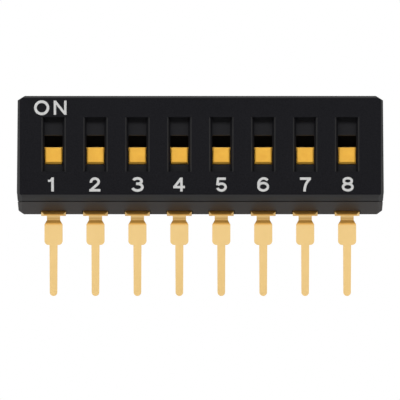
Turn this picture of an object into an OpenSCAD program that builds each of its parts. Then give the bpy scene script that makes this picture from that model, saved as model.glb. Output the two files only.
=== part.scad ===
// Side-actuated slide DIP switch.
// An upright housing carries a row of sliders in its face, and two rows of stamped leads
// that run straight down into the board, parallel to the face.
// X runs along the row of switches, the sliders face -Y, and +Z is up.
// The origin is midway between the lead rows, in the plane where the lead shoulders meet the board.

/* [Switches] */
// Number of switches in the row
switch_count = 8; // [2:1:12]
// Distance from one switch to the next
pitch = 2.54; // [2.4:0.01:3.2]
// How far a slider moves between OFF, below, and ON, above
travel = 0.67; // [0.45:0.01:0.8]

/* [Housing] */
// Depth from the face to the back
body_d = 8.80; // [8:0.05:11]
// Height from the underside to the top
body_h = 7.17; // [6.8:0.01:9]
// Length past the last switch's centre, where the housing is widest
end_margin = 2.225; // [2.1:0.005:3]
// How much each end leans in from the widest level to the top
end_lean_top = 0.050; // [0:0.005:0.15]
// How much each end leans in from the widest level to the underside
end_lean_low = 0.105; // [0:0.005:0.15]
// Height and depth of the 45 degree slope under the face and under the back
slope = 1.14; // [1.1:0.01:1.4]
// Rounding of the edge between the face or the back and its slope
slope_round = 0.45; // [0.1:0.01:0.5]
// Height of the parting line between cover and base
parting_h = 0.78; // [0.6:0.005:0.9]
// Width of the groove left at the parting line
parting_gap = 0.05; // [0.02:0.01:0.1]
// Depth of the parting groove at the face and the back, down to the seat the cover rests on
parting_deep = 0.04; // [0.03:0.01:0.15]
// Depth of the parting groove at the two ends
parting_end_deep = 0.03; // [0.02:0.01:0.1]
// Thickness of the cover's face wall
wall_face = 0.90; // [0.8:0.01:1.1]
// Thickness of the cover's back wall
wall_back = 0.90; // [0.8:0.01:1.1]
// Thickness of the cover's end walls
wall_end = 0.75; // [0.6:0.01:0.9]
// Thickness of the cover's top wall
wall_top = 0.70; // [0.5:0.01:0.9]
// Clearance between the cover and the base block inside it
shell_fit = 0.05; // [0.02:0.01:0.1]
// Bevel along the upright edges
edge_bevel = 0.17; // [0.1:0.01:0.3]
// Bevel along the two long top edges
top_bevel = 0.12; // [0.08:0.01:0.3]
// Width of the cut on the two top corners, seen from the front
top_corner_w = 0.43; // [0.2:0.01:0.6]
// Height of the cut on the two top corners
top_corner_h = 0.27; // [0.1:0.01:0.5]
// Width of the cut on the bottom corners and along the ends of the slopes
low_corner_w = 0.32; // [0.2:0.01:0.5]
// Height of the cut on the bottom corners
low_corner_h = 0.23; // [0.1:0.01:0.4]

/* [Windows] */
// Width of the window recess round each slot, at its mouth
window_w = 1.32; // [1.25:0.01:1.6]
// Depth of the window recess, down to the slot
window_deep = 0.50; // [0.3:0.01:0.6]
// Height of the window's lower edge above the underside
window_low = 2.590; // [2.3:0.01:2.8]
// Height of the ledge in the window under the slot
ledge_low = 0.420; // [0.3:0.005:0.6]
// Height of the ledge in the window over the slot
ledge_top = 1.135; // [0.8:0.005:1.2]
// Bevel on the window's two upright edges
rim_bevel = 0.075; // [0.03:0.005:0.1]
// Bevel on the slot's upper edge
slot_bevel = 0.06; // [0.03:0.01:0.1]
// Clearance between a knob and its slot
slot_fit = 0.035; // [0.03:0.005:0.1]

/* [Sliders] */
// Width of the knob
knob_w = 1.02; // [0.8:0.01:1.1]
// Height of the knob
knob_h = 1.00; // [0.9:0.01:1.2]
// How far the knob's front lies behind the face
knob_recess = 0.38; // [0.1:0.01:0.42]
// Rounding of the knob's four long edges
knob_round = 0.09; // [0.05:0.01:0.15]
// Bevel round the knob's front, at its top and sides
knob_bevel = 0.06; // [0.04:0.01:0.12]
// Bevel under the knob's front
knob_low_bevel = 0.13; // [0.08:0.01:0.2]
// Width of the carrier behind the face wall
carrier_w = 1.98; // [1.7:0.01:2]
// Thickness of the carrier
carrier_t = 0.72; // [0.6:0.01:0.9]
// How far the carrier reaches below the knob
carrier_drop = 1.25; // [1.2:0.01:1.4]
// Running gap between the carrier and the face wall
slide_gap = 0.03; // [0.02:0.01:0.06]
// Running gap between the carrier and the channel on each side
guide_gap = 0.04; // [0.02:0.01:0.08]
// Free height left in the channel above and below the carrier's travel
channel_room = 0.30; // [0.2:0.01:0.4]

/* [Moving contacts] */
// Width of the contact strip
contact_w = 1.30; // [1:0.01:1.6]
// Thickness of the contact strip
contact_t = 0.12; // [0.08:0.01:0.15]
// Height of the two bumps that touch the pads
bump_h = 0.15; // [0.1:0.01:0.2]
// Half the length of a bump's foot
bump_foot = 0.20; // [0.15:0.01:0.25]
// Height of the lower bump above the carrier's lower end
bump_rise = 0.30; // [0.28:0.01:0.4]
// Distance between the two bumps
bump_spacing = 1.20; // [1:0.01:1.3]
// Straight tail past each bump
contact_tail = 0.06; // [0.04:0.01:0.1]
// Bend radius of the contact strip, at its middle
contact_bend = 0.10; // [0.08:0.01:0.12]
// Gap left between the bumps and the pads, so that rigid pieces do not rub
contact_gap = 0.03; // [0.02:0.01:0.05]
// Radius of the stake that holds the contact to the slider
stake_r = 0.16; // [0.1:0.01:0.2]
// How far the stake stands out of the contact
stake_head = 0.05; // [0.02:0.01:0.08]
// Clearance round the stake
stake_fit = 0.02; // [0.01:0.01:0.04]

/* [Terminals] */
// Distance between the front and rear rows of pins
row_spacing = 7.62; // [7.4:0.01:8]
// Thickness of the stamped strip
lead_t = 0.25; // [0.2:0.01:0.3]
// Height of the housing's underside above the board
stand_off = 1.86; // [1.6:0.01:2.4]
// Length of the pins below the board plane
pin_l = 3.09; // [2.5:0.01:4]
// Width of the pins at the shoulder
pin_w = 0.49; // [0.4:0.01:0.55]
// Width of the pins at the tip
pin_tip_w = 0.46; // [0.35:0.01:0.55]
// Width of the shoulder that seats on the board
shoulder_w = 1.10; // [0.9:0.01:1.3]
// Rounding of the shoulder's lower corners
shoulder_r = 0.25; // [0.15:0.01:0.28]
// Width of the neck above the shoulder
neck_w = 0.80; // [0.6:0.01:0.9]
// Depth below the underside where the neck starts to widen
neck_low = 0.36; // [0.3:0.01:0.45]
// Depth below the underside where the shoulder has its full width
shoulder_top = 0.62; // [0.55:0.01:0.8]
// Width of the tab that leaves the housing
tab_w = 1.50; // [1.2:0.01:1.7]
// Cut on the tab's two front corners
tab_corner = 0.20; // [0.1:0.01:0.25]
// Depth of the tab's lower edge below the underside
tab_low = 0.10; // [0.08:0.01:0.2]
// Height above the underside where the tab's upper side leaves the slope
tab_exit_h = 0.185; // [0.17:0.005:0.35]
// How far the tab runs forward before it bends down
tab_reach = 0.18; // [0.12:0.01:0.25]
// Height above the underside up to which the strip keeps the tab's width
tab_inner_h = 0.45; // [0.4:0.01:0.6]
// Depth below the underside where the joggle starts, gently
joggle_top = 0.20; // [0.2:0.01:0.28]
// Depth below the underside where the joggle turns steep
joggle_mid = 0.42; // [0.36:0.01:0.45]
// Depth below the underside where the joggle ends
joggle_low = 0.66; // [0.58:0.01:0.7]
// How far the strip has moved forward where the joggle turns steep
joggle_ease = 0.07; // [0.01:0.01:0.08]
// Width of the strip inside the base, and of its pads
pad_w = 1.20; // [1:0.01:1.4]
// How far the pads stand out of the base
pad_proud = 0.05; // [0.02:0.01:0.08]
// How far a pad runs past the bump's last place on it
pad_margin = 0.10; // [0.08:0.01:0.2]
// Bend radius of the strip, at its middle
lead_bend = 0.20; // [0.15:0.01:0.22]
// Clearance between the strip and its pocket in the base
pocket_fit = 0.04; // [0.01:0.01:0.05]

/* [Hidden] */
$fn = 48;

cover_colour = "#222224";
base_colour = "#2b2b2d";
slider_colour = "#efb54b";
gold_colour = "#f0ca83";

// Straight pieces in each bend of a strip
bend_steps = 5;
// A turn smaller than this needs no bend
least_turn = 0.5;
// Extra length that carries a cut clear of the faces it goes through
overcut = 0.5;

// Heights from here on are above the housing's underside. Depths are in the model's own Y.
half_w = (switch_count - 1) * pitch / 2 + end_margin;
top_half_w = half_w - end_lean_top;
low_half_w = half_w - end_lean_low;
face_y = -body_d / 2;
block_half_w = half_w - wall_end - shell_fit;
block_front_y = face_y + wall_face + shell_fit;
block_back_y = body_d / 2 - wall_back - shell_fit;
block_top = body_h - wall_top - shell_fit;
end_at_parting = half_w - end_lean_low * (slope + low_corner_h - parting_h) / slope;
seat_half_w = end_at_parting - parting_end_deep;
seat_half_d = body_d / 2 - slope + parting_h - parting_deep;

// The knob's place in its slot at OFF
slot_low = window_low + ledge_low;
knob_low = slot_low + slot_fit;
knob_top = knob_low + knob_h;
slot_top = knob_top + travel + slot_fit;
window_top = slot_top + ledge_top;
carrier_low = knob_low - carrier_drop;
channel_low = carrier_low - channel_room;
channel_top = knob_top + travel + channel_room;

// Layers behind the face: carrier, contact strip, bumps, pads, base
carrier_front_y = face_y + wall_face + slide_gap;
carrier_back_y = carrier_front_y + carrier_t;
contact_y = carrier_back_y + contact_t / 2;
pad_front_y = carrier_back_y + contact_t + bump_h + contact_gap;
pad_y = pad_front_y + lead_t / 2;
channel_back_y = pad_front_y + pad_proud;

// Bumps at OFF, and the pads that they meet
low_bump_z = carrier_low + bump_rise;
top_bump_z = low_bump_z + bump_spacing;
stake_z = (low_bump_z + top_bump_z) / 2;
front_pad_top = low_bump_z + travel + pad_margin;
rear_pad_low = top_bump_z + travel / 2;
rear_pad_top = top_bump_z + travel + pad_margin;
bridge_z = rear_pad_low - lead_bend;

// Where the middle of the strip crosses the slope, on its way out at 45 degrees
exit_y = face_y + slope - tab_exit_h + lead_t / 2 * cos(45);
exit_z = tab_exit_h - lead_t / 2 * cos(45);
drop_y = exit_y - tab_reach;
drop_z = exit_z - tab_reach;
rise_z = exit_z + pad_y - exit_y;
tip_z = -stand_off - pin_l;
tab_front_y = drop_y - lead_t / 2;

// The middle line of a strip, as [depth, height] points, from its pad to its tip
function outer_leg() = [
    [drop_y, drop_z],
    [drop_y, -joggle_top],
    [drop_y - joggle_ease, -joggle_mid],
    [-row_spacing / 2, -joggle_low],
    [-row_spacing / 2, tip_z]
];

function front_route(extra = 0) = concat(
    [[pad_y, front_pad_top + extra], [pad_y, rise_z]],
    outer_leg()
);

// The rear strip runs back through the base, and leaves it as the front one's mirror image
function rear_route(extra = 0) = concat(
    [[pad_y, rear_pad_top + extra], [pad_y, bridge_z], [-pad_y, bridge_z], [-pad_y, rise_z]],
    [for (p = outer_leg()) [-p.x, p.y]]
);

function contact_route() = [
    [contact_y, top_bump_z + bump_foot + contact_tail],
    [contact_y, top_bump_z + bump_foot],
    [contact_y + bump_h, top_bump_z],
    [contact_y, top_bump_z - bump_foot],
    [contact_y, low_bump_z + bump_foot],
    [contact_y + bump_h, low_bump_z],
    [contact_y, low_bump_z - bump_foot],
    [contact_y, low_bump_z - bump_foot - contact_tail]
];

// A bent strip: corners of the route become arcs, and the strip's two sides follow them
function heading(a, b) = atan2(b.y - a.y, b.x - a.x);
function wrapped(angle) = angle > 180 ? angle - 360 : (angle < -180 ? angle + 360 : angle);
function bend(a, b, c, r) =
    let (start = heading(a, b), turn = wrapped(heading(b, c) - start))
    abs(turn) < least_turn ? [b] : bend_arc(b, start, turn, r);
function bend_arc(b, start, turn, r) =
    let (
        side = sign(turn) * r,
        first = b - abs(side) * tan(abs(turn) / 2) * [cos(start), sin(start)],
        centre = first + side * [-sin(start), cos(start)]
    )
    [for (i = [0 : bend_steps])
        let (now = start + turn * i / bend_steps)
        centre + side * [sin(now), -cos(now)]];
function rounded(route, r) = concat(
    [route[0]],
    [for (i = [1 : len(route) - 2]) each bend(route[i - 1], route[i], route[i + 1], r)],
    [route[len(route) - 1]]
);
function unit(v) = v / norm(v);
function left_of(v) = [-v.y, v.x];
function miter(line, i) =
    let (
        last = len(line) - 1,
        before = unit(line[max(i, 1)] - line[max(i, 1) - 1]),
        after = unit(line[min(i + 1, last)] - line[min(i, last - 1)]),
        side = left_of(unit(before + after))
    )
    side / (side * left_of(before));
function strip(line, t) = concat(
    [for (i = [0 : len(line) - 1]) line[i] + t / 2 * miter(line, i)],
    [for (i = [len(line) - 1 : -1 : 0]) line[i] - t / 2 * miter(line, i)]
);

function switch_x(k) = (k - (switch_count + 1) / 2) * pitch;

// Extrudes a front view, drawn as [x, height], through the depth
module front_view(depth) {
    rotate([90, 0, 0])
        linear_extrude(height = depth, center = true)
            children();
}

// Extrudes a side view, drawn as [depth, height], along the row
module side_view(width) {
    rotate([90, 0, 90])
        linear_extrude(height = width, center = true)
            children();
}

// Lifts what is drawn above the underside to its place over the board
module over_board(k = 0) {
    translate([k == 0 ? 0 : switch_x(k), 0, stand_off])
        children();
}

module block(x, y, z) {
    translate([x[0], y[0], z[0]])
        cube([x[1] - x[0], y[1] - y[0], z[1] - z[0]]);
}

// Front view of the housing: ends that lean in above and below, and cut corners
module front_outline() {
    half = [
        [low_half_w - low_corner_w, 0],
        [low_half_w, low_corner_h],
        [half_w, slope + low_corner_h],
        [top_half_w, body_h - top_corner_h],
        [top_half_w - top_corner_w, body_h]
    ];
    last = len(half) - 1;
    polygon(concat(half, [for (i = [last : -1 : 0]) [-half[i].x, half[i].y]]));
}

// Side view of the housing: bevelled on top, and sloped in underneath at the face and the back
module side_outline() {
    foot = [body_d / 2 - slope, 0];
    corner = [body_d / 2, slope];
    top = [body_d / 2, body_h - top_bevel];
    half = concat([foot], bend(foot, corner, top, slope_round), [top, [body_d / 2 - top_bevel, body_h]]);
    last = len(half) - 1;
    polygon(concat(half, [for (i = [last : -1 : 0]) [-half[i].x, half[i].y]]));
}

// Plan of the housing, with its upright edges bevelled
module plan_outline() {
    polygon([
        for (side = [[1, 1], [-1, 1], [-1, -1], [1, -1]])
            each let (
                long_end = [side.x * (half_w - edge_bevel), side.y * body_d / 2],
                short_end = [side.x * half_w, side.y * (body_d / 2 - edge_bevel)]
            )
            side.x * side.y > 0 ? [short_end, long_end] : [long_end, short_end]
    ]);
}

// A bar along the front slope that cuts the slope's two ends to match the bottom corners
module slope_trim() {
    reach = body_d + body_h;
    corner = low_corner_h * cos(45);
    translate([0, face_y, slope])
        rotate([45, 0, 0])
            linear_extrude(height = 2 * reach, center = true)
                polygon([
                    [low_corner_w - half_w, 0],
                    [half_w - low_corner_w, 0],
                    [half_w, corner],
                    [half_w, reach],
                    [-half_w, reach],
                    [-half_w, corner]
                ]);
}

module housing_form() {
    intersection() {
        front_view(body_d + overcut) front_outline();
        side_view(2 * half_w + overcut) side_outline();
        linear_extrude(height = body_h) plan_outline();
        slope_trim();
        mirror([0, 1, 0]) slope_trim();
    }
}

// The hole through the face at one switch: bevelled rims, a recess that narrows, and the slot
module window() {
    slot_w = knob_w + 2 * slot_fit;
    translate([0, face_y, window_low])
        linear_extrude(height = window_top - window_low)
            polygon([
                [-window_w / 2 - rim_bevel, -overcut],
                [window_w / 2 + rim_bevel, -overcut],
                [window_w / 2 + rim_bevel, 0],
                [window_w / 2, rim_bevel],
                [slot_w / 2, window_deep],
                [-slot_w / 2, window_deep],
                [-window_w / 2, rim_bevel],
                [-window_w / 2 - rim_bevel, 0]
            ]);
    translate([0, face_y, 0])
        side_view(slot_w)
            polygon([
                [0, slot_low],
                [wall_face + overcut, slot_low],
                [wall_face + overcut, slot_top],
                [window_deep + slot_bevel, slot_top],
                [window_deep, slot_top + slot_bevel],
                [0, slot_top + slot_bevel]
            ]);
}

module cover() {
    inner_half_w = half_w - wall_end;
    color(cover_colour)
        over_board()
            difference() {
                intersection() {
                    housing_form();
                    block([-half_w, half_w], [face_y, body_d / 2], [parting_h + parting_gap / 2, body_h]);
                }
                block(
                    [-inner_half_w, inner_half_w],
                    [face_y + wall_face, body_d / 2 - wall_back],
                    [0, body_h - wall_top]
                );
                for (k = [1 : switch_count])
                    translate([switch_x(k), 0, 0])
                        window();
            }
}

// The space in the base that a strip fills: the tab's width below, the pad's width above
module pocket(route) {
    low_w = tab_w + 2 * pocket_fit;
    high_w = pad_w + 2 * pocket_fit;
    intersection() {
        side_view(low_w) polygon(strip(rounded(route, lead_bend), lead_t + 2 * pocket_fit));
        union() {
            block([-low_w / 2, low_w / 2], [face_y, body_d / 2], [-overcut, tab_inner_h + pocket_fit]);
            block([-high_w / 2, high_w / 2], [face_y, body_d / 2], [0, body_h]);
        }
    }
}

// The rim on the base that the cover rests on, set back behind the groove of the parting line
module seat() {
    intersection() {
        block(
            [-seat_half_w, seat_half_w],
            [-seat_half_d, seat_half_d],
            [parting_h - parting_gap, parting_h + parting_gap / 2]
        );
        translate([0, parting_deep, 0]) slope_trim();
        mirror([0, 1, 0]) translate([0, parting_deep, 0]) slope_trim();
    }
}

module base() {
    channel_half_w = carrier_w / 2 + guide_gap;
    color(base_colour)
        over_board()
            difference() {
                union() {
                    intersection() {
                        housing_form();
                        block([-half_w, half_w], [face_y, body_d / 2], [0, parting_h - parting_gap / 2]);
                    }
                    block(
                        [-block_half_w, block_half_w],
                        [block_front_y, block_back_y],
                        [parting_h - parting_gap, block_top]
                    );
                    seat();
                }
                for (k = [1 : switch_count])
                    translate([switch_x(k), 0, 0]) {
                        block(
                            [-channel_half_w, channel_half_w],
                            [block_front_y - overcut, channel_back_y],
                            [channel_low, channel_top]
                        );
                        pocket(front_route(pocket_fit));
                        pocket(rear_route(pocket_fit));
                    }
            }
}

// The knob: rounded along its length, with bevels round its front
module knob() {
    front_y = face_y + knob_recess;
    length = carrier_front_y - front_y;
    square_w = knob_w - 2 * knob_round;
    square_h = knob_h - 2 * knob_round;
    translate([0, front_y, knob_low])
        intersection() {
            front_view(2 * length)
                union() {
                    translate([-knob_w / 2, knob_round]) square([knob_w, square_h]);
                    translate([-square_w / 2, 0]) square([square_w, knob_h]);
                    for (x = [-square_w / 2, square_w / 2], z = [knob_round, knob_h - knob_round])
                        translate([x, z]) circle(r = knob_round);
                }
            side_view(knob_w)
                polygon([
                    [0, knob_low_bevel],
                    [knob_low_bevel, 0],
                    [length, 0],
                    [length, knob_h],
                    [knob_bevel, knob_h],
                    [0, knob_h - knob_bevel]
                ]);
            linear_extrude(height = knob_h)
                polygon([
                    [knob_bevel - knob_w / 2, 0],
                    [knob_w / 2 - knob_bevel, 0],
                    [knob_w / 2, knob_bevel],
                    [knob_w / 2, length],
                    [-knob_w / 2, length],
                    [-knob_w / 2, knob_bevel]
                ]);
        }
}

module slider(k) {
    stake_l = contact_t + stake_head;
    color(slider_colour)
        over_board(k)
            union() {
                knob();
                block([-carrier_w / 2, carrier_w / 2], [carrier_front_y, carrier_back_y], [carrier_low, knob_top]);
                translate([0, carrier_back_y, stake_z])
                    rotate([-90, 0, 0])
                        cylinder(r = stake_r, h = stake_l);
            }
}

module contact(k) {
    color(gold_colour)
        over_board(k)
            difference() {
                side_view(contact_w) polygon(strip(rounded(contact_route(), contact_bend), contact_t));
                translate([0, contact_y, stake_z])
                    rotate([90, 0, 0])
                        cylinder(r = stake_r + stake_fit, h = contact_t + overcut, center = true);
            }
}

// Front view of a stamped strip: pad, tab, neck, shoulder and round-tipped pin
module lead_outline() {
    translate([-pad_w / 2, tab_inner_h])
        square([pad_w, body_h]);
    translate([-tab_w / 2, -tab_low])
        square([tab_w, tab_inner_h + tab_low]);
    polygon([
        [-neck_w / 2, -tab_low],
        [-neck_w / 2, -neck_low],
        [-shoulder_w / 2, -shoulder_top],
        [shoulder_w / 2, -shoulder_top],
        [neck_w / 2, -neck_low],
        [neck_w / 2, -tab_low]
    ]);
    translate([-shoulder_w / 2, shoulder_r - stand_off])
        square([shoulder_w, stand_off - shoulder_top - shoulder_r]);
    translate([shoulder_r - shoulder_w / 2, -stand_off])
        square([shoulder_w - 2 * shoulder_r, shoulder_r]);
    for (side = [-1, 1])
        translate([side * (shoulder_w / 2 - shoulder_r), shoulder_r - stand_off])
            circle(r = shoulder_r);
    polygon([
        [-pin_w / 2, -stand_off],
        [-pin_tip_w / 2, tip_z + pin_tip_w / 2],
        [pin_tip_w / 2, tip_z + pin_tip_w / 2],
        [pin_w / 2, -stand_off]
    ]);
    translate([0, tip_z + pin_tip_w / 2])
        circle(d = pin_tip_w);
}

// What is cut off one corner of a tab, seen from above
module tab_cut(x_side, y_side) {
    cut = [
        [tab_w / 2 - tab_corner, tab_front_y],
        [tab_w / 2 + overcut, tab_front_y],
        [tab_w / 2 + overcut, tab_front_y + tab_corner],
        [tab_w / 2, tab_front_y + tab_corner]
    ];
    translate([0, 0, -overcut])
        linear_extrude(height = overcut + tab_inner_h)
            polygon([for (p = cut) [x_side * p.x, y_side * p.y]]);
}

module terminal(k, route) {
    color(gold_colour)
        over_board(k)
            difference() {
                intersection() {
                    side_view(tab_w) polygon(strip(rounded(route, lead_bend), lead_t));
                    front_view(body_d) lead_outline();
                }
                for (x_side = [-1, 1], y_side = [-1, 1])
                    tab_cut(x_side, y_side);
            }
}

cover();
base();
for (k = [1 : switch_count]) {
    slider(k);
    contact(k);
    terminal(k, front_route());
    terminal(k, rear_route());
}
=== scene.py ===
# %% [markdown]
# # Side-actuated slide DIP switch
#
# This lesson dresses a small electronic switch: a black moulded housing with eight
# yellow-orange sliders in its face, white marking, and two rows of gold-plated pins.
# The solids come finished from the CAD model, so Blender's work is what the eye reads as
# real: the finish of each surface, the softness of its edges, the ink, and the light.
# The part is only 22 mm long. Every length on it is therefore written in millimetres and
# turned into metres by one name.

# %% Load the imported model
import math

import bmesh
import bpy
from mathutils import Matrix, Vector
from mathutils.geometry import delaunay_2d_cdt


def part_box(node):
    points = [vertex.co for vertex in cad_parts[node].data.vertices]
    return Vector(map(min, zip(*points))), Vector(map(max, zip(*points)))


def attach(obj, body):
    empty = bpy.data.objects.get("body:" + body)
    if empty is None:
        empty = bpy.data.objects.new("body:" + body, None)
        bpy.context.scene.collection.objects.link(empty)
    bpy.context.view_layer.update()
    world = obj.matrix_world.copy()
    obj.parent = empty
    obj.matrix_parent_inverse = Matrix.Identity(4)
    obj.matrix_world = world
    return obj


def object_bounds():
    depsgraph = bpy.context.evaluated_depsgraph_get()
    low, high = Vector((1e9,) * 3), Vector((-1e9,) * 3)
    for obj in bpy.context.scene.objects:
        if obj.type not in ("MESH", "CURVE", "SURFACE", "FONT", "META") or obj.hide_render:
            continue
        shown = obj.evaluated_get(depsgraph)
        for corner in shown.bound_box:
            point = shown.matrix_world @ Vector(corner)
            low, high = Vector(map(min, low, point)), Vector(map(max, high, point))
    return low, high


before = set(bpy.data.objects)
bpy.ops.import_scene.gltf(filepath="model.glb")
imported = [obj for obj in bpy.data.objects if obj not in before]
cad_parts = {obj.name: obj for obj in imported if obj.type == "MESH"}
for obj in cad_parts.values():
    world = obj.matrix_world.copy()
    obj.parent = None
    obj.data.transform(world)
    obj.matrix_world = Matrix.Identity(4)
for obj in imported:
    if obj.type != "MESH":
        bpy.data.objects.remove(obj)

cad_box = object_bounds()
MM = 0.001
SWITCHES = range(1, 9)
slider_nodes = [f"slider_{k}" for k in SWITCHES]
contact_nodes = [f"contact_{k}" for k in SWITCHES]
lead_nodes = [f"{row}_terminal_{k}" for row in ("front", "rear") for k in SWITCHES]
print("CAD box in mm:", [[round(c / MM, 3) for c in corner] for corner in cad_box])

# %% [markdown]
# ## Helpers for every material
#
# Paint charts and screens name colours in sRGB hex, but a shader mixes light, so it wants
# linear values. One function does that change for every colour in the file.
# A node is always made the same way too: choose its kind, set its options, then fill each
# input with a number, a colour or a link from another node. One small function does all
# of that, for materials, for the world and for geometry nodes alike.
# Most values of a noise texture lie near one half. So that a pattern uses its whole range
# of colours, the middle part is stretched, and the rest is cut off at both ends. The
# scale of a texture comes from the width of its features in millimetres.
# The last helper tells a flat side of the housing from a slope, by the way it faces.

# %% Colour and node helpers
MIDDLE = {"From Min": 0.3, "From Max": 0.7}


def linear(hex_colour):
    """The linear RGBA of an sRGB hex colour."""
    parts = [int(hex_colour[i:i + 2], 16) / 255 for i in (1, 3, 5)]
    return [c / 12.92 if c <= 0.04045 else ((c + 0.055) / 1.055) ** 2.4 for c in parts] + [1]


def add(tree, kind, inputs=None, **options):
    """Adds one node, sets its options, and fills or links its inputs."""
    made = tree.nodes.new(kind)
    for option, value in options.items():
        setattr(made, option, value)
    by_identifier = {socket.identifier: socket for socket in made.inputs}
    for name, value in (inputs or {}).items():
        socket = by_identifier[name]
        if isinstance(value, bpy.types.NodeSocket):
            tree.links.new(value, socket)
        else:
            socket.default_value = value
    return made


def new_material(name):
    """An empty material and its node tree."""
    material = bpy.data.materials.new(name)
    material.use_nodes = True
    material.node_tree.nodes.clear()
    return material, material.node_tree


def per_mm(size):
    """The scale of a pattern whose features are `size` millimetres across."""
    return 1 / (size * MM)


def straightness(tree, normal):
    """1 on a face square to an axis, 0.71 on a 45 degree slope, and between on a round."""
    size = add(tree, "ShaderNodeVectorMath", {"Vector": normal}, operation="ABSOLUTE")
    parts = add(tree, "ShaderNodeSeparateXYZ", {"Vector": size.outputs["Vector"]}).outputs
    larger = add(tree, "ShaderNodeMath", {"Value": parts["X"], "Value_001": parts["Y"]},
                 operation="MAXIMUM")
    return add(tree, "ShaderNodeMath",
               {"Value": larger.outputs["Value"], "Value_001": parts["Z"]},
               operation="MAXIMUM").outputs["Value"]


print("mid grey #808080 is linear", round(linear("#808080")[0], 4))

# %% [markdown]
# ## Black PBT, spark-eroded
#
# The housing of such a switch is polybutylene terephthalate, PBT, filled with glass fibre
# and coloured with carbon black, because it stands the heat of soldering. The large faces
# of the mould are spark-eroded, and the plastic copies their pits.
# Light that would make a highlight is scattered and lost between the pits. The eye gets an
# even, nearly black face, so the specular level is far below a polished plastic's. It is
# one number on the shader, because an exported model keeps it only then.
# Real pits are 0.03 to 0.05 mm wide. They are drawn at 0.09 mm, or they wouldn't show.
# The ledges deep in the windows, which face forward from more than 0.3 mm behind the face, are
# coloured a shade greyer.

# %% Material: spark-eroded black PBT
PLASTIC_IOR = 1.5
PIT = 0.09
PIT_DEPTH = 0.006
FLOW_CLOUD = 1.6
LEDGE_DEPTH = 0.3
FACES_FRONT = 0.9

face_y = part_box("cover")[0].y
eroded_pbt, tree = new_material("black_pbt_spark_eroded")
place = add(tree, "ShaderNodeTexCoord").outputs["Object"]
pits = add(tree, "ShaderNodeTexNoise",
           {"Vector": place, "Scale": per_mm(PIT), "Detail": 4.0, "Roughness": 0.6})
clouds = add(tree, "ShaderNodeTexNoise",
             {"Vector": place, "Scale": per_mm(FLOW_CLOUD), "Detail": 2.0})
grain = add(tree, "ShaderNodeMapRange", {"Value": pits.outputs["Fac"], **MIDDLE})
cloud_tint = add(tree, "ShaderNodeMixRGB",
                 {"Fac": clouds.outputs["Fac"], "Color1": linear("#17171a"),
                  "Color2": linear("#1b1b1e")})
pit_tint = add(tree, "ShaderNodeMixRGB",
               {"Fac": grain.outputs["Result"], "Color1": cloud_tint.outputs["Color"],
                "Color2": linear("#212124")})

shape = add(tree, "ShaderNodeNewGeometry")
facing = add(tree, "ShaderNodeSeparateXYZ", {"Vector": shape.outputs["True Normal"]})
forward = add(tree, "ShaderNodeMath",
              {"Value": facing.outputs["Y"], "Value_001": -FACES_FRONT}, operation="LESS_THAN")
depth = add(tree, "ShaderNodeSeparateXYZ", {"Vector": place})
behind = add(tree, "ShaderNodeMath",
             {"Value": depth.outputs["Y"], "Value_001": face_y + LEDGE_DEPTH * MM},
             operation="GREATER_THAN")
on_ledge = add(tree, "ShaderNodeMath",
               {"Value": forward.outputs["Value"], "Value_001": behind.outputs["Value"]},
               operation="MULTIPLY")
tint = add(tree, "ShaderNodeMixRGB",
           {"Fac": on_ledge.outputs["Value"], "Color1": pit_tint.outputs["Color"],
            "Color2": linear("#272729")})
dullness = add(tree, "ShaderNodeMapRange",
               {"Value": grain.outputs["Result"], "To Min": 0.82, "To Max": 0.66})
relief = add(tree, "ShaderNodeBump",
             {"Height": pits.outputs["Fac"], "Strength": 0.45, "Distance": PIT_DEPTH * MM})
surface = add(tree, "ShaderNodeBsdfPrincipled",
              {"Base Color": tint.outputs["Color"], "Roughness": dullness.outputs["Result"],
               "Normal": relief.outputs["Normal"],
               "Specular IOR Level": 0.03, "IOR": PLASTIC_IOR})
add(tree, "ShaderNodeOutputMaterial", {"Surface": surface.outputs["BSDF"]})
print(eroded_pbt.name, "pits of", PIT, "mm")

# %% [markdown]
# ## Black PBT, polished mould
#
# Slopes and bevels are cut into the mould with a milling cutter and then stoned smooth, so
# there the same plastic comes out satin. It mirrors the table and the room softly, by the
# few percent that any plastic mirrors. That is why the bevels frame the face as pale lines.
# The base comes from another mould and another batch. It is lighter and warmer than the
# cover, and a little duller.

# %% Material: smooth black PBT for the cover and for the base
STONING_MARK = 0.05
STONING_LENGTH = 1.2
STONING_DEPTH = 0.002


def smooth_pbt(name, dark, light, least_rough, most_rough, gloss):
    """Satin black PBT with the faint lengthwise marks of a stoned mould."""
    material, tree = new_material(name)
    place = add(tree, "ShaderNodeTexCoord").outputs["Object"]
    stretched = add(tree, "ShaderNodeMapping",
                    {"Vector": place, "Scale": (STONING_MARK / STONING_LENGTH, 1, 1)})
    marks = add(tree, "ShaderNodeTexNoise",
                {"Vector": stretched.outputs["Vector"], "Scale": per_mm(STONING_MARK),
                 "Detail": 3.0})
    clouds = add(tree, "ShaderNodeTexNoise",
                 {"Vector": place, "Scale": per_mm(FLOW_CLOUD), "Detail": 2.0})
    tint = add(tree, "ShaderNodeMixRGB",
               {"Fac": clouds.outputs["Fac"], "Color1": linear(dark), "Color2": linear(light)})
    dullness = add(tree, "ShaderNodeMapRange",
                   {"Value": marks.outputs["Fac"], **MIDDLE,
                    "To Min": least_rough, "To Max": most_rough})
    relief = add(tree, "ShaderNodeBump",
                 {"Height": marks.outputs["Fac"], "Strength": 0.2,
                  "Distance": STONING_DEPTH * MM})
    surface = add(tree, "ShaderNodeBsdfPrincipled",
                  {"Base Color": tint.outputs["Color"], "Roughness": dullness.outputs["Result"],
                   "Normal": relief.outputs["Normal"], "Specular IOR Level": gloss,
                   "IOR": PLASTIC_IOR})
    add(tree, "ShaderNodeOutputMaterial", {"Surface": surface.outputs["BSDF"]})
    return material


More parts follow.
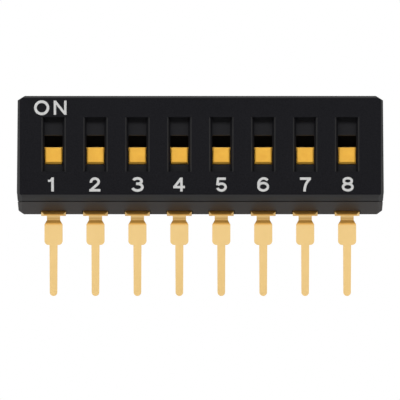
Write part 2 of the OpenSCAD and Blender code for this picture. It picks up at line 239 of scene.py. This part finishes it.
cover_smooth = smooth_pbt("black_pbt_smooth_cover", dark="#19191a", light="#1e1e1f",
                          least_rough=0.34, most_rough=0.46, gloss=0.40)
base_smooth = smooth_pbt("black_pbt_smooth_base", dark="#343130", light="#3b3837",
                         least_rough=0.36, most_rough=0.46, gloss=0.39)
print(cover_smooth.name, base_smooth.name)

# %% [markdown]
# ## Yellow-orange nylon
#
# The sliders are injection-moulded nylon, coloured right through, because a painted knob
# would wear bare under a fingernail or a pen tip. Nylon comes out of a polished mould with
# a soft sheen. Real nylon also lets a little light spread inside it, which keeps its edges
# from going grey. On a knob of one millimetre a full, bright colour stands for that. The
# pigment is never perfectly even: faint flow marks a third of a millimetre wide keep the
# knobs from looking painted on.

# %% Material: slider nylon
FLOW_MARK = 0.35
FINE_GRAIN = 0.07
GRAIN_DEPTH = 0.003

slider_nylon, tree = new_material("yellow_orange_nylon_moulded")
place = add(tree, "ShaderNodeTexCoord").outputs["Object"]
flow = add(tree, "ShaderNodeTexNoise",
           {"Vector": place, "Scale": per_mm(FLOW_MARK), "Detail": 2.0})
fine = add(tree, "ShaderNodeTexNoise",
           {"Vector": place, "Scale": per_mm(FINE_GRAIN), "Detail": 3.0})
streak = add(tree, "ShaderNodeMapRange", {"Value": flow.outputs["Fac"], **MIDDLE})
tint = add(tree, "ShaderNodeMixRGB",
           {"Fac": streak.outputs["Result"], "Color1": linear("#f3b645"),
            "Color2": linear("#fac04b")})
dullness = add(tree, "ShaderNodeMapRange",
               {"Value": fine.outputs["Fac"], **MIDDLE, "To Min": 0.38, "To Max": 0.52})
relief = add(tree, "ShaderNodeBump",
             {"Height": fine.outputs["Fac"], "Strength": 0.25, "Distance": GRAIN_DEPTH * MM})
surface = add(tree, "ShaderNodeBsdfPrincipled",
              {"Base Color": tint.outputs["Color"], "Roughness": dullness.outputs["Result"],
               "Normal": relief.outputs["Normal"], "Specular IOR Level": 0.4,
               "IOR": PLASTIC_IOR})
add(tree, "ShaderNodeOutputMaterial", {"Surface": surface.outputs["BSDF"]})
print(slider_nylon.name)

# %% [markdown]
# ## Gold plate on rolled strip
#
# The leads are stamped from rolled copper-alloy strip, plated with gold, and bent last.
# Rolling leaves fine lines along the strip, and the thin plating follows them. So the gold
# is a metal whose roughness comes in fine streaks along the pin, and whose reflections are
# soft. The streaks are really a few microns wide, and they are drawn at 0.03 mm. A faint
# blush, 0.8 mm across, keeps the plate from being one flat colour.
# Where a bend turns the strip's face up, the plate is painted a deeper yellow, a painted
# reflection that stands for light bounced twice between gold faces. Where a lead leaves the
# plastic its neck is painted darker with a thin brown shade, for the dark housing that the
# neck mirrors. The painted shade thickens down to the next bend and ends there, and at its
# thickest it takes a third of the colour.
# The contacts are the same metal in a thinner, springier strip with a finer roll mark.

# %% Materials: gold plate
STREAK_LENGTH = 0.9
STREAK_DEPTH = 0.002
BLUSH = 0.8
# The first of these numbers places the painted reflection on bends turned up, the last three
# place the painted shade on the necks.
PAINTED_REFLECTION_UP = (0.15, 0.5)
NECK_SHADE_FULL_AT = 0.25
NECK_SHADE_ENDS = (0.31, 0.36)
NECK_SHADE_SHARE = 0.35

underside_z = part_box("base")[0].z


def gold_plate(name, streak, least_rough, most_rough):
    """Gold-plated rolled strip with lines along Z."""
    material, tree = new_material(name)
    place = add(tree, "ShaderNodeTexCoord").outputs["Object"]
    stretched = add(tree, "ShaderNodeMapping",
                    {"Vector": place, "Scale": (1, 1, streak / STREAK_LENGTH)})
    lines = add(tree, "ShaderNodeTexNoise",
                {"Vector": stretched.outputs["Vector"], "Scale": per_mm(streak),
                 "Detail": 3.0})
    blush = add(tree, "ShaderNodeTexNoise",
                {"Vector": place, "Scale": per_mm(BLUSH), "Detail": 2.0})
    flat_tint = add(tree, "ShaderNodeMixRGB",
                    {"Fac": blush.outputs["Fac"], "Color1": linear("#eecb88"),
                     "Color2": linear("#f2cf8e")})
    # Painted reflection: faces turned up get a deeper yellow, which stands for light bounced
    # twice between gold faces.
    facing = add(tree, "ShaderNodeSeparateXYZ",
                 {"Vector": add(tree, "ShaderNodeTexCoord").outputs["Normal"]})
    painted_reflection = add(tree, "ShaderNodeMapRange",
               {"Value": facing.outputs["Z"], "From Min": PAINTED_REFLECTION_UP[0],
                "From Max": PAINTED_REFLECTION_UP[1]})
    tint_with_painted_reflection = add(tree, "ShaderNodeMixRGB",
                     {"Fac": painted_reflection.outputs["Result"], "Color1": flat_tint.outputs["Color"],
                      "Color2": linear("#eeb45a")})
    # Painted shade: below the plastic the neck is darkened towards brown, for the dark housing
    # that it mirrors, and the shade ends at the next bend.
    height = add(tree, "ShaderNodeSeparateXYZ", {"Vector": place}).outputs["Z"]
    neck_shade_rising = add(tree, "ShaderNodeMapRange",
                     {"Value": height, "From Min": underside_z,
                      "From Max": underside_z - NECK_SHADE_FULL_AT * MM})
    neck_shade_ending = add(tree, "ShaderNodeMapRange",
                 {"Value": height, "From Min": underside_z - NECK_SHADE_ENDS[0] * MM,
                  "From Max": underside_z - NECK_SHADE_ENDS[1] * MM,
                  "To Min": NECK_SHADE_SHARE, "To Max": 0.0})
    painted_neck_shade = add(tree, "ShaderNodeMath",
               {"Value": neck_shade_rising.outputs["Result"], "Value_001": neck_shade_ending.outputs["Result"]},
               operation="MULTIPLY")
    tint = add(tree, "ShaderNodeMixRGB",
               {"Fac": painted_neck_shade.outputs["Value"], "Color1": tint_with_painted_reflection.outputs["Color"],
                "Color2": linear("#3a2408")})
    dullness = add(tree, "ShaderNodeMapRange",
                   {"Value": lines.outputs["Fac"], **MIDDLE,
                    "To Min": least_rough, "To Max": most_rough})
    relief = add(tree, "ShaderNodeBump",
                 {"Height": lines.outputs["Fac"], "Strength": 0.3,
                  "Distance": STREAK_DEPTH * MM})
    surface = add(tree, "ShaderNodeBsdfPrincipled",
                  {"Base Color": tint.outputs["Color"], "Metallic": 1.0,
                   "Roughness": dullness.outputs["Result"],
                   "Normal": relief.outputs["Normal"]})
    add(tree, "ShaderNodeOutputMaterial", {"Surface": surface.outputs["BSDF"]})
    return material


lead_gold = gold_plate("gold_plate_rolled_lead", streak=0.03,
                       least_rough=0.34, most_rough=0.46)
contact_gold = gold_plate("gold_plate_rolled_contact", streak=0.02,
                          least_rough=0.2, most_rough=0.3)
print(lead_gold.name, contact_gold.name)

# %% [markdown]
# ## White marking ink
#
# The marking is printed with a silicone pad, which carries a film of white epoxy ink some
# 0.01 mm thick. The ink covers the pits of the face unevenly, so it is not paper white. It
# dries matt with a faint mottle of the same width as the pits below.

# %% Material: marking ink
MOTTLE_DEPTH = 0.003

marking_ink, tree = new_material("white_pad_print_ink")
place = add(tree, "ShaderNodeTexCoord").outputs["Object"]
mottle = add(tree, "ShaderNodeTexNoise",
             {"Vector": place, "Scale": per_mm(PIT), "Detail": 3.0})
cover_share = add(tree, "ShaderNodeMapRange", {"Value": mottle.outputs["Fac"], **MIDDLE})
tint = add(tree, "ShaderNodeMixRGB",
           {"Fac": cover_share.outputs["Result"], "Color1": linear("#c5c5c4"),
            "Color2": linear("#d8d8d7")})
relief = add(tree, "ShaderNodeBump",
             {"Height": mottle.outputs["Fac"], "Strength": 0.3,
              "Distance": MOTTLE_DEPTH * MM})
dullness = add(tree, "ShaderNodeMapRange",
               {"Value": mottle.outputs["Fac"], "To Min": 0.75, "To Max": 0.6})
surface = add(tree, "ShaderNodeBsdfPrincipled",
              {"Base Color": tint.outputs["Color"], "Roughness": dullness.outputs["Result"],
               "Normal": relief.outputs["Normal"], "Specular IOR Level": 0.3,
               "IOR": PLASTIC_IOR})
add(tree, "ShaderNodeOutputMaterial", {"Surface": surface.outputs["BSDF"]})
print(marking_ink.name)

# %% [markdown]
# ## Edges that catch the light
#
# No moulded or stamped edge is perfectly sharp, and the thin line of light along an edge
# is what makes a small object look solid. The CAD mesh stays as it is: modifiers dress it.
# A geometry-nodes modifier first joins the loose CAD faces, gives the slopes and bevels
# the second material, and marks which edges are sharp. A Decimate in planar mode then
# clears the triangles inside flat faces, and a Bevel rounds each sharp edge.
# What counts as sharp depends on the piece. The rounds of the housing turn 9 degrees at a
# time, so there any turn over 12 degrees is an edge. The bends of the small parts come in
# coarser steps, and those should shade as one round, so their limit is 30 degrees.
# The eroded texture fades where a face rounds over into a slope. So the smooth finish
# starts on the round, at 21 degrees from square.

# %% A geometry-nodes group for moulded housings and one for small parts
SMOOTH_FROM = 21
WELD = 0.0005


def joined_faces(name, turn_limit):
    """Joins the loose CAD faces, sorts out the slopes, and marks edges over the limit."""
    tree = bpy.data.node_groups.new(name, "GeometryNodeTree")
    for way in ("INPUT", "OUTPUT"):
        tree.interface.new_socket("Geometry", in_out=way, socket_type="NodeSocketGeometry")
    come_in = add(tree, "NodeGroupInput")
    merged = add(tree, "GeometryNodeMergeByDistance",
                 {"Geometry": come_in.outputs["Geometry"], "Distance": WELD * MM})
    normal = add(tree, "GeometryNodeInputNormal").outputs["Normal"]
    sloping = add(tree, "ShaderNodeMath",
                  {"Value": straightness(tree, normal),
                   "Value_001": math.cos(math.radians(SMOOTH_FROM))}, operation="LESS_THAN")
    sorted_faces = add(tree, "GeometryNodeSetMaterialIndex",
                       {"Geometry": merged.outputs["Geometry"],
                        "Selection": sloping.outputs["Value"], "Material Index": 1})
    turn = add(tree, "GeometryNodeInputMeshEdgeAngle")
    sharp = add(tree, "ShaderNodeMath",
                {"Value": turn.outputs["Unsigned Angle"],
                 "Value_001": math.radians(turn_limit)}, operation="GREATER_THAN")
    smoothed = add(tree, "GeometryNodeSetMeshNormal",
                   {"Mesh": sorted_faces.outputs["Geometry"], "Remove Custom": True,
                    "Edge Sharpness": sharp.outputs["Value"]}, mode="SHARPNESS")
    add(tree, "NodeGroupOutput", {"Socket_1": smoothed.outputs["Mesh"]})
    print(name, len(tree.nodes), "nodes, sharp over", turn_limit, "degrees")
    return tree


housing_faces = joined_faces("join_housing_faces", turn_limit=12)
small_faces = joined_faces("join_small_faces", turn_limit=30)

# %% [markdown]
# The two rows of leads, the sliders and the contacts each have one finish all over, so
# both of their slots hold the same material. Only the cover and the base show two.
# The round of each edge is a real one: about 0.01 mm on the housing, which has its true
# bevels in the CAD model already, 0.02 mm on the sliders and on the stamped leads, where
# the punch rolls the edge over, and 0.01 mm on the thin contacts.
# On the housing a round keeps the finish of the faces beside it. Blender calls that slot -1.

# %% Dress the CAD nodes
FLAT_WITHIN = 0.5
ROUND_OVER = 30
ROUND_SEGMENTS = 2
NEIGHBOUR_SLOT = -1


def dress(node_name, finishes, edge_round, faces=small_faces, edge_slot=1):
    """Gives a CAD node its two finishes and rounds its sharp edges by `edge_round` mm."""
    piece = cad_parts[node_name]
    piece.data.materials.clear()
    for finish in finishes:
        piece.data.materials.append(finish)
    piece.modifiers.new("join_and_sort", "NODES").node_group = faces
    planar = piece.modifiers.new("clear_flat_faces", "DECIMATE")
    planar.decimate_type = "DISSOLVE"
    planar.angle_limit = math.radians(FLAT_WITHIN)
    planar.delimit = {"MATERIAL", "SHARP"}
    rounding = piece.modifiers.new("edge_round", "BEVEL")
    rounding.width = edge_round * MM
    rounding.segments = ROUND_SEGMENTS
    rounding.limit_method = "ANGLE"
    rounding.angle_limit = math.radians(ROUND_OVER)
    rounding.harden_normals = True
    rounding.material = edge_slot


dress("cover", (eroded_pbt, cover_smooth), edge_round=0.012, faces=housing_faces,
      edge_slot=NEIGHBOUR_SLOT)
dress("base", (eroded_pbt, base_smooth), edge_round=0.008, faces=housing_faces,
      edge_slot=NEIGHBOUR_SLOT)
for name in slider_nodes:
    dress(name, (slider_nylon, slider_nylon), edge_round=0.02)
for name in lead_nodes:
    dress(name, (lead_gold, lead_gold), edge_round=0.02)
for name in contact_nodes:
    dress(name, (contact_gold, contact_gold), edge_round=0.01)

depsgraph = bpy.context.evaluated_depsgraph_get()
for name in ("cover", "base", "slider_1", "front_terminal_1", "contact_1"):
    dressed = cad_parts[name].evaluated_get(depsgraph).data
    print(name, "faces after dressing:", len(dressed.polygons))

# %% [markdown]
# ## The marking, drawn stroke by stroke
#
# Lettering like this is one even stroke, 0.15 mm wide, on letters 0.86 mm high. So each
# glyph is drawn as a signwriter would: a few straight strokes and bows of an ellipse along
# the middle of the line. Each stroke becomes a flat ribbon.
# Where a path turns a corner, the ribbon is mitred so that it keeps its width. The mitre
# stops growing at twice the half width, or a very sharp corner would get a long spike.

# %% Strokes, bows and ribbons
STROKE = 0.15
BOW_STEP = 9
MITRE_STOP = 0.5


def bow(x, z, across, up, start, stop):
    """Points along an ellipse about (x, z), from angle start to angle stop in degrees."""
    count = max(2, round(abs(stop - start) / BOW_STEP))
    turns = [math.radians(start + (stop - start) * i / count) for i in range(count + 1)]
    return [(x + across * math.cos(t), z + up * math.sin(t)) for t in turns]


def ribbon(path, width):
    """The outline of a stroke of that width along a path, counter-clockwise."""
    points = [Vector(p) for p in path]
    left, right = [], []
    for i, point in enumerate(points):
        before = (point - points[i - 1]).normalized() if i else None
        after = (points[i + 1] - point).normalized() if i + 1 < len(points) else None
        before, after = before or after, after or before
        along = (before + after).normalized()
        side = Vector((-along.y, along.x)) * (width / 2 / max(MITRE_STOP, along.dot(after)))
        left.append(point + side)
        right.append(point - side)
    return right + left[::-1]


print("a half bow has", len(bow(0, 0, 1, 1, 0, 180)), "points")

# %% [markdown]
# The ribbons of a glyph cross and overlap, and printed ink doesn't. A constrained
# triangulation lays them over each other and returns one clean sheet. Points that lie
# closer than 0.0001 mm count as one. The closed film is that sheet twice, once in front
# and once turned round on the face, with a wall along the rim. A side of a triangle lies
# on the rim if no neighbour runs along it the other way. Blender can extrude a sheet too,
# but the faces then come in another order each time, and these lists keep theirs.

# %% One closed film for each marking
INK = 0.01
SAME_POINT = 1e-4
TRIANGLES = 0


def ink_film(name, glyphs):
    """One closed film of ink on the face, from glyphs: a list of (lines, x, z) in mm."""
    points_xz, sheet = [], []
    for lines, x, z in glyphs:
        corners, rings = [], []
        for path, width in lines:
            outline = ribbon(path, width)
            rings.append(list(range(len(corners), len(corners) + len(outline))))
            corners.extend(outline)
        points, _, faces, _, _, owners = delaunay_2d_cdt(corners, [], rings, TRIANGLES,
                                                         SAME_POINT)
        first = len(points_xz)
        points_xz += [((p.x + x) * MM, (p.y + z) * MM) for p in points]
        sheet += [[first + i for i in face] for face, owner in zip(faces, owners) if owner]

    used = sorted({i for face in sheet for i in face})
    count = len(used)
    number = {old: new for new, old in enumerate(used)}
    front = [[number[i] for i in face] for face in sheet]
    back = [[i + count for i in reversed(face)] for face in front]
    sides = [(a, b) for face in front for a, b in zip(face, face[1:] + face[:1])]
    known = set(sides)
    wall = [(a, a + count, b + count, b) for a, b in sides if (b, a) not in known]
    vertices = [(points_xz[i][0], y, points_xz[i][1])
                for y in (face_y - INK * MM, face_y) for i in used]
    mesh = bpy.data.meshes.new(name)
    mesh.from_pydata(vertices, [], front + back + wall)
    piece = bpy.data.objects.new(name, mesh)
    bpy.context.scene.collection.objects.link(piece)
    piece.data.materials.append(marking_ink)
    return piece


print("ink", INK, "mm thick on the face at y", round(face_y / MM, 2), "mm")

# %% [markdown]
# Each glyph stands on z = 0 and is centred on x = 0. A figure is about 0.7 mm wide and
# 0.86 mm high, as in a plain grotesque. A round one reaches a little past the line above
# and below, or it would look smaller than its neighbours. Where a glyph has few strokes,
# or one big bow, they are drawn a little heavier for the same reason. Where strokes crowd
# together, as in the N and at the flag of the 1, they are a little lighter.

# %% The glyphs
def strokes(*paths, width=STROKE):
    """Gives every path the same stroke width."""
    return [(path, width) for path in paths]


GLYPHS = {
    "O": strokes(bow(0, 0.424, 0.38, 0.37, 0, 180), bow(0, 0.424, 0.38, 0.37, 180, 360),
                 width=0.163),
    "N": strokes([(-0.314, 0), (-0.314, 0.857)], [(0.314, 0), (0.314, 0.857)],
                 [(-0.305, 0.81), (0.305, 0.035)], width=0.145),
    "1": strokes([(0.095, 0), (0.095, 0.854)], width=0.16)
         + strokes([(-0.185, 0.65)] + bow(-0.095, 0.81, 0.15, 0.16, -90, 0), width=0.13),
    "2": strokes(bow(0, 0.585, 0.23, 0.2, 195, -38) + [(-0.22, 0.1)],
                 [(-0.338, 0.075), (0.338, 0.075)], width=0.155),
    "3": strokes(bow(0, 0.63, 0.252, 0.163, 160, -90) + [(-0.08, 0.47)],
                 [(-0.08, 0.47)] + bow(0, 0.266, 0.3, 0.204, 90, -165), width=0.16),
    "4": strokes([(0.147, 0), (0.147, 0.847)], [(-0.352, 0.27), (0.352, 0.27)],
                 [(-0.285, 0.27), (0.13, 0.8)]),
    "5": strokes([(-0.24, 0.774), (0.265, 0.774)], [(-0.2, 0.81), (-0.25, 0.38)],
                 bow(0, 0.271, 0.25, 0.205, 148, -165)),
    "6": strokes(bow(0, 0.29, 0.287, 0.224, 0, 180), bow(0, 0.29, 0.287, 0.224, 180, 360),
                 bow(0.03, 0.44, 0.317, 0.354, 42, 205)),
    "7": strokes([(-0.335, 0.78), (0.335, 0.78)], bow(0.6, 0, 0.655, 0.885, 118, 180),
                 width=0.156),
    "8": strokes(bow(0, 0.639, 0.245, 0.169, 0, 180), bow(0, 0.639, 0.245, 0.169, 180, 360),
                 bow(0, 0.272, 0.287, 0.198, 0, 180), bow(0, 0.272, 0.287, 0.198, 180, 360)),
}
print(len(GLYPHS), "glyphs of", sum(len(g) for g in GLYPHS.values()), "strokes")

# %% [markdown]
# ON stands over the first switch, and each figure under its own. A figure may stand some
# hundredths of a millimetre beside the middle of its window. The 1 is furthest out: it is
# placed by its stem, and its flag reaches out to the left.

# %% Print the marking on the cover
ON_Z = 7.89
ON_X = {"O": -9.61, "N": -8.492}
FIGURE_Z = 3.24
PRINT_SHIFT = {1: -0.157, 2: -0.04, 4: -0.02, 5: 0.01, 7: 0.015, 8: 0.04}

on_marking = ink_film("marking_on", [(GLYPHS[letter], x, ON_Z) for letter, x in ON_X.items()])
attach(on_marking, "housing")
for k, slider in zip(SWITCHES, slider_nodes):
    low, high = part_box(slider)
    x = (low.x + high.x) / 2 / MM + PRINT_SHIFT.get(k, 0)
    figure = ink_film(f"marking_{k}", [(GLYPHS[str(k)], x, FIGURE_Z)])
    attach(figure, "housing")
    print(figure.name, len(figure.data.polygons), "faces at x", round(x, 2), "mm")

# %% [markdown]
# ## A pale table
#
# The switch stands on its pin tips on a pale grey card. The card is plain and matt, so the
# shadow on it is real. To the camera, to mirrors and through glass it also glows a little,
# which lifts the grey to white where no shadow falls. That keeps the background clean
# without more light on the object. Seen from below the card is clear, so that the underside
# can be looked at as well.

# %% Floor
FLOOR_RADIUS = 600
FIBRE = 0.4
CARD_GLOW = 0.52


def seen_as_background(tree):
    """1 for the rays that show the backdrop: straight, off a mirror, or through glass."""
    path = add(tree, "ShaderNodeLightPath")
    straight_or_mirrored = add(tree, "ShaderNodeMath",
                               {"Value": path.outputs["Is Camera Ray"],
                                "Value_001": path.outputs["Is Glossy Ray"]},
                               operation="MAXIMUM")
    seen = add(tree, "ShaderNodeMath",
               {"Value": straight_or_mirrored.outputs["Value"],
                "Value_001": path.outputs["Is Transmission Ray"]},
               operation="MAXIMUM")
    return seen.outputs["Value"]


card, tree = new_material("pale_card")
fibre = add(tree, "ShaderNodeTexNoise",
            {"Vector": add(tree, "ShaderNodeTexCoord").outputs["Object"],
             "Scale": per_mm(FIBRE), "Detail": 3.0})
paper = add(tree, "ShaderNodeMixRGB",
            {"Fac": fibre.outputs["Fac"], "Color1": linear("#b8b8b8"),
             "Color2": linear("#bcbcbc")})
matt = add(tree, "ShaderNodeBsdfDiffuse", {"Color": paper.outputs["Color"]})
lift = add(tree, "ShaderNodeMath",
           {"Value": seen_as_background(tree), "Value_001": CARD_GLOW}, operation="MULTIPLY")
glow = add(tree, "ShaderNodeEmission", {"Strength": lift.outputs["Value"]})
lit = add(tree, "ShaderNodeAddShader",
          {"Shader": matt.outputs["BSDF"], "Shader_001": glow.outputs["Emission"]})
clear = add(tree, "ShaderNodeBsdfTransparent")
side = add(tree, "ShaderNodeNewGeometry")
both = add(tree, "ShaderNodeMixShader",
           {"Fac": side.outputs["Backfacing"], "Shader": lit.outputs["Shader"],
            "Shader_001": clear.outputs["BSDF"]})
add(tree, "ShaderNodeOutputMaterial", {"Surface": both.outputs["Shader"]})

disc = bmesh.new()
bmesh.ops.create_circle(disc, cap_ends=True, segments=96, radius=FLOOR_RADIUS * MM)
floor_mesh = bpy.data.meshes.new("floor")
disc.to_mesh(floor_mesh)
disc.free()
floor = bpy.data.objects.new("floor", floor_mesh)
floor.location.z = cad_box[0].z
floor_mesh.materials.append(card)
bpy.context.scene.collection.objects.link(floor)
print("floor at z", round(floor.location.z / MM, 2), "mm,",
      "facing", floor_mesh.polygons[0].normal[:])

# %% [markdown]
# ## Room and lamps
#
# The room is white to the camera and to mirrors, and dim for the light that falls on matt
# surfaces. A soft box in front and above makes the shadows in the windows fall downward,
# as they do under a lamp over a workbench. It is wide but low, so the shadows are soft
# along the row and have a clear end below. A weaker one from the left gives the two ends
# different brightness. Two more stand behind, left and right, and light the back and the
# ends. Each side gets about the plain level, at which a colour renders about as it is
# written. Mirror-like rays don't see the lamps: gold would show them as burnt-out patches,
# and it mirrors the even white room instead.
# The lamps stand 6 m off and are metres wide, so their places and sizes are in metres.

# %% World and lamps
ROOM_LEVEL = 0.08
LAMP_DISTANCE = 6

world = bpy.data.worlds.new("room")
bpy.context.scene.world = world
world.use_nodes = True
tree = world.node_tree
tree.nodes.clear()
level = add(tree, "ShaderNodeMapRange",
            {"Value": seen_as_background(tree), "To Min": ROOM_LEVEL, "To Max": 1.0})
room = add(tree, "ShaderNodeBackground",
           {"Color": linear("#ffffff"), "Strength": level.outputs["Result"]})
add(tree, "ShaderNodeOutputWorld", {"Surface": room.outputs["Background"]})


def soft_box(name, azimuth, elevation, size, share):
    """An area lamp aimed at the switch. share is the part of plain level it gives."""
    lamp = bpy.data.lights.new(name, "AREA")
    lamp.shape = "RECTANGLE"
    lamp.size, lamp.size_y = size
    lamp.energy = share * (math.pi * LAMP_DISTANCE) ** 2
    holder = bpy.data.objects.new(name, lamp)
    turn, rise = math.radians(azimuth), math.radians(elevation)
    aim = Vector((math.sin(turn) * math.cos(rise), -math.cos(turn) * math.cos(rise),
                  math.sin(rise)))
    holder.location = aim * LAMP_DISTANCE
    holder.rotation_euler = aim.to_track_quat("Z", "Y").to_euler()
    holder.visible_glossy = False
    bpy.context.scene.collection.objects.link(holder)
    print(name, "gives", share, "with", round(lamp.energy), "W")


soft_box("key_over_bench", azimuth=0, elevation=37.5, size=(9, 1.6), share=1.03)
soft_box("fill_left", azimuth=-65, elevation=40, size=(3, 3), share=0.17)
soft_box("rear_left", azimuth=-125, elevation=30, size=(3, 3), share=0.45)
soft_box("rear_right", azimuth=125, elevation=30, size=(3, 3), share=0.45)

# %% [markdown]
# ## Camera
#
# The switch is seen square on, with none of its sides or its rear row of pins showing, as
# through the telecentric lens that is used to picture and measure small parts. Such a lens
# has parallel rays, and so has an orthographic camera. Its scale is the width of the view.

# %% Camera
VIEW_WIDTH = 24.228
VIEW_HEIGHT = 2.726
VIEW_SIDE = -0.02
DISTANCE = 200

camera = bpy.data.cameras.new("camera")
camera.type = "ORTHO"
camera.ortho_scale = VIEW_WIDTH * MM
camera.clip_start = MM
viewer = bpy.data.objects.new("camera", camera)
viewer.location = (VIEW_SIDE * MM, face_y - DISTANCE * MM, VIEW_HEIGHT * MM)
viewer.rotation_euler = (math.radians(90), 0, 0)
bpy.context.scene.collection.objects.link(viewer)
bpy.context.scene.camera = viewer
bpy.context.scene.view_settings.view_transform = "Standard"
print("view", VIEW_WIDTH, "mm wide")
